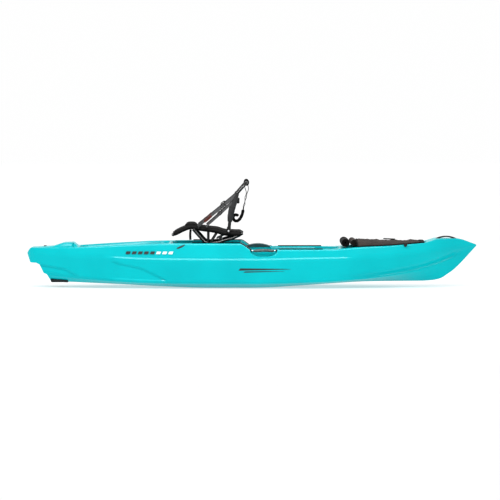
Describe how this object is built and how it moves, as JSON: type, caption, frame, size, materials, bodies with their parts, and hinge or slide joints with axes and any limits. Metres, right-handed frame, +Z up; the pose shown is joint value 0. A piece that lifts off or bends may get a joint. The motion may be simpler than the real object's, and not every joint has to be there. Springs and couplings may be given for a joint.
{
  "type": "sit-on-top fishing kayak",
  "caption": "Sit-on-top pedal-ready fishing kayak: hollow moulded hull with wells, sliding fold-down frame seat, lift-out console, covered bow well, tracks and handles.",
  "frame": {"origin": "mid length and mid breadth of the hull, level with the lowest point of the keel", "axes": "+X to the bow, +Y to port, +Z up"},
  "size_m": [3.71, 0.9598, 0.89],
  "materials": {
    "turquoise_polyethylene": "rotomoulded, faint grain",
    "black_skid": "moulded",
    "foam": "closed-cell foam",
    "brass": "machined brass",
    "black_plastic": "moulded",
    "cover_fabric": "coated woven",
    "console_lid_plastic": "moulded",
    "sling_mesh": "woven mesh",
    "pad_fabric": "woven over foam",
    "webbing": "woven webbing",
    "black_tube": "powder coated",
    "back_mesh": "open mesh",
    "stainless_steel": "machined",
    "black_anodised": "anodised extrusion",
    "grip_rubber": "moulded grip",
    "lash_cord": "braided"
  },
  "bodies": {
    "hull": {"bow_cover": "cover_fabric", "bow_cover_catches": "black_plastic", "bow_cover_roll": "cover_fabric", "bow_cover_toggle": "black_plastic", "bow_handle": "black_plastic", "foam_block_bow": "foam", "foam_block_stern": "foam", "foot_brace_rail_port": "black_anodised", "foot_brace_rail_starboard": "black_anodised", "gear_track_aft_port": "black_anodised", "gear_track_aft_starboard": "black_anodised", "gear_track_fore_port": "black_anodised", "gear_track_fore_starboard": "black_anodised", "gear_track_screws": "stainless_steel", "handle_brackets": "black_plastic", "handle_pins": "stainless_steel", "hull_shell": "turquoise_polyethylene", "scupper_plugs": "black_plastic", "seat_rail_port": "black_anodised", "seat_rail_screws": "stainless_steel", "seat_rail_starboard": "black_anodised", "skid_plate": "black_skid", "skid_plate_screws": "stainless_steel", "stern_inserts": "brass"},
    "seat_carriage": {"seat_carriage_port": "black_plastic", "seat_carriage_starboard": "black_plastic"},
    "lock_knob_port": {"seat_lock_knob_port": "black_plastic"},
    "lock_knob_starboard": {"seat_lock_knob_starboard": "black_plastic"},
    "seat_frame": {"seat_side_frame_port": "black_tube", "seat_side_frame_starboard": "black_tube", "seat_cross_tubes": "black_tube", "seat_sling": "sling_mesh", "seat_front_pad": "pad_fabric", "seat_release_strap": "webbing", "backrest_pivot_bolts": "stainless_steel", "backrest_pivot_spacers": "black_plastic", "recline_strap_anchors": "black_plastic", "recline_straps_port": "webbing", "recline_straps_starboard": "webbing", "recline_buckles_port": "black_plastic", "recline_buckles_starboard": "black_plastic"},
    "backrest": {"backrest_hoop": "black_tube", "backrest_mesh": "back_mesh", "backrest_top_pad": "pad_fabric", "backrest_slider": "black_plastic", "lash_cord_aft": "lash_cord", "lash_cord_fore": "lash_cord", "lash_sleeve": "pad_fabric"},
    "handle_port": {"handle_grip_port": "grip_rubber"},
    "handle_starboard": {"handle_grip_starboard": "grip_rubber"},
    "pedal_port": {"foot_pedal_port": "black_plastic"},
    "pedal_starboard": {"foot_pedal_starboard": "black_plastic"},
    "console": {"console_body": "turquoise_polyethylene", "console_hinge_pin": "stainless_steel"},
    "console_lid": {"console_lid": "console_lid_plastic"},
    "drain_plug": {"drain_plug": "black_plastic"}
  },
  "joints": [
    {"name": "seat_slide", "type": "slide", "parent": "hull", "child": "seat_carriage", "axis": [1, 0, 0], "range_m": [-0.12, 0.12]},
    {"name": "seat_lift", "type": "slide", "parent": "seat_carriage", "child": "seat_frame", "axis": [0, 0, 1], "range_m": [0, 0.25]},
    {"name": "backrest_fold", "type": "hinge", "parent": "seat_frame", "child": "backrest", "pos_m": [-0.193, 0, 0.471], "axis": [0, 1, 0], "range_deg": [-75, 0], "deforming": ["recline_straps_port", "recline_straps_starboard", "recline_buckles_port", "recline_buckles_starboard"]},
    {"name": "lock_turn_port", "type": "hinge", "parent": "seat_carriage", "child": "lock_knob_port", "pos_m": [-0.31, 0.2577, 0.352], "axis": [0, 1, 0], "range_deg": [0, 90]},
    {"name": "lock_turn_starboard", "type": "hinge", "parent": "seat_carriage", "child": "lock_knob_starboard", "pos_m": [-0.31, -0.2577, 0.352], "axis": [0, 1, 0], "range_deg": [0, 90]},
    {"name": "handle_swing_port", "type": "hinge", "parent": "hull", "child": "handle_port", "pos_m": [0.095, 0.455, 0.314], "axis": [1, 0, 0], "range_deg": [0, 100]},
    {"name": "handle_swing_starboard", "type": "hinge", "parent": "hull", "child": "handle_starboard", "pos_m": [0.095, -0.455, 0.314], "axis": [1, 0, 0], "range_deg": [-100, 0]},
    {"name": "pedal_slide_port", "type": "slide", "parent": "hull", "child": "pedal_port", "axis": [1, 0, 0], "range_m": [-0.12, 0.1]},
    {"name": "pedal_slide_starboard", "type": "slide", "parent": "hull", "child": "pedal_starboard", "axis": [1, 0, 0], "range_m": [-0.12, 0.1]},
    {"name": "console_lift", "type": "slide", "parent": "hull", "child": "console", "axis": [0, 0, 1], "range_m": [0, 0.3]},
    {"name": "console_lid_hinge", "type": "hinge", "parent": "console", "child": "console_lid", "pos_m": [0.154, 0, 0.335], "axis": [0, 1, 0], "range_deg": [0, 100]},
    {"name": "drain_plug_turn", "type": "hinge", "parent": "hull", "child": "drain_plug", "pos_m": [-1.715, 0.062, 0.328], "axis": [0, 0, 1], "continuous": true}
  ]
}
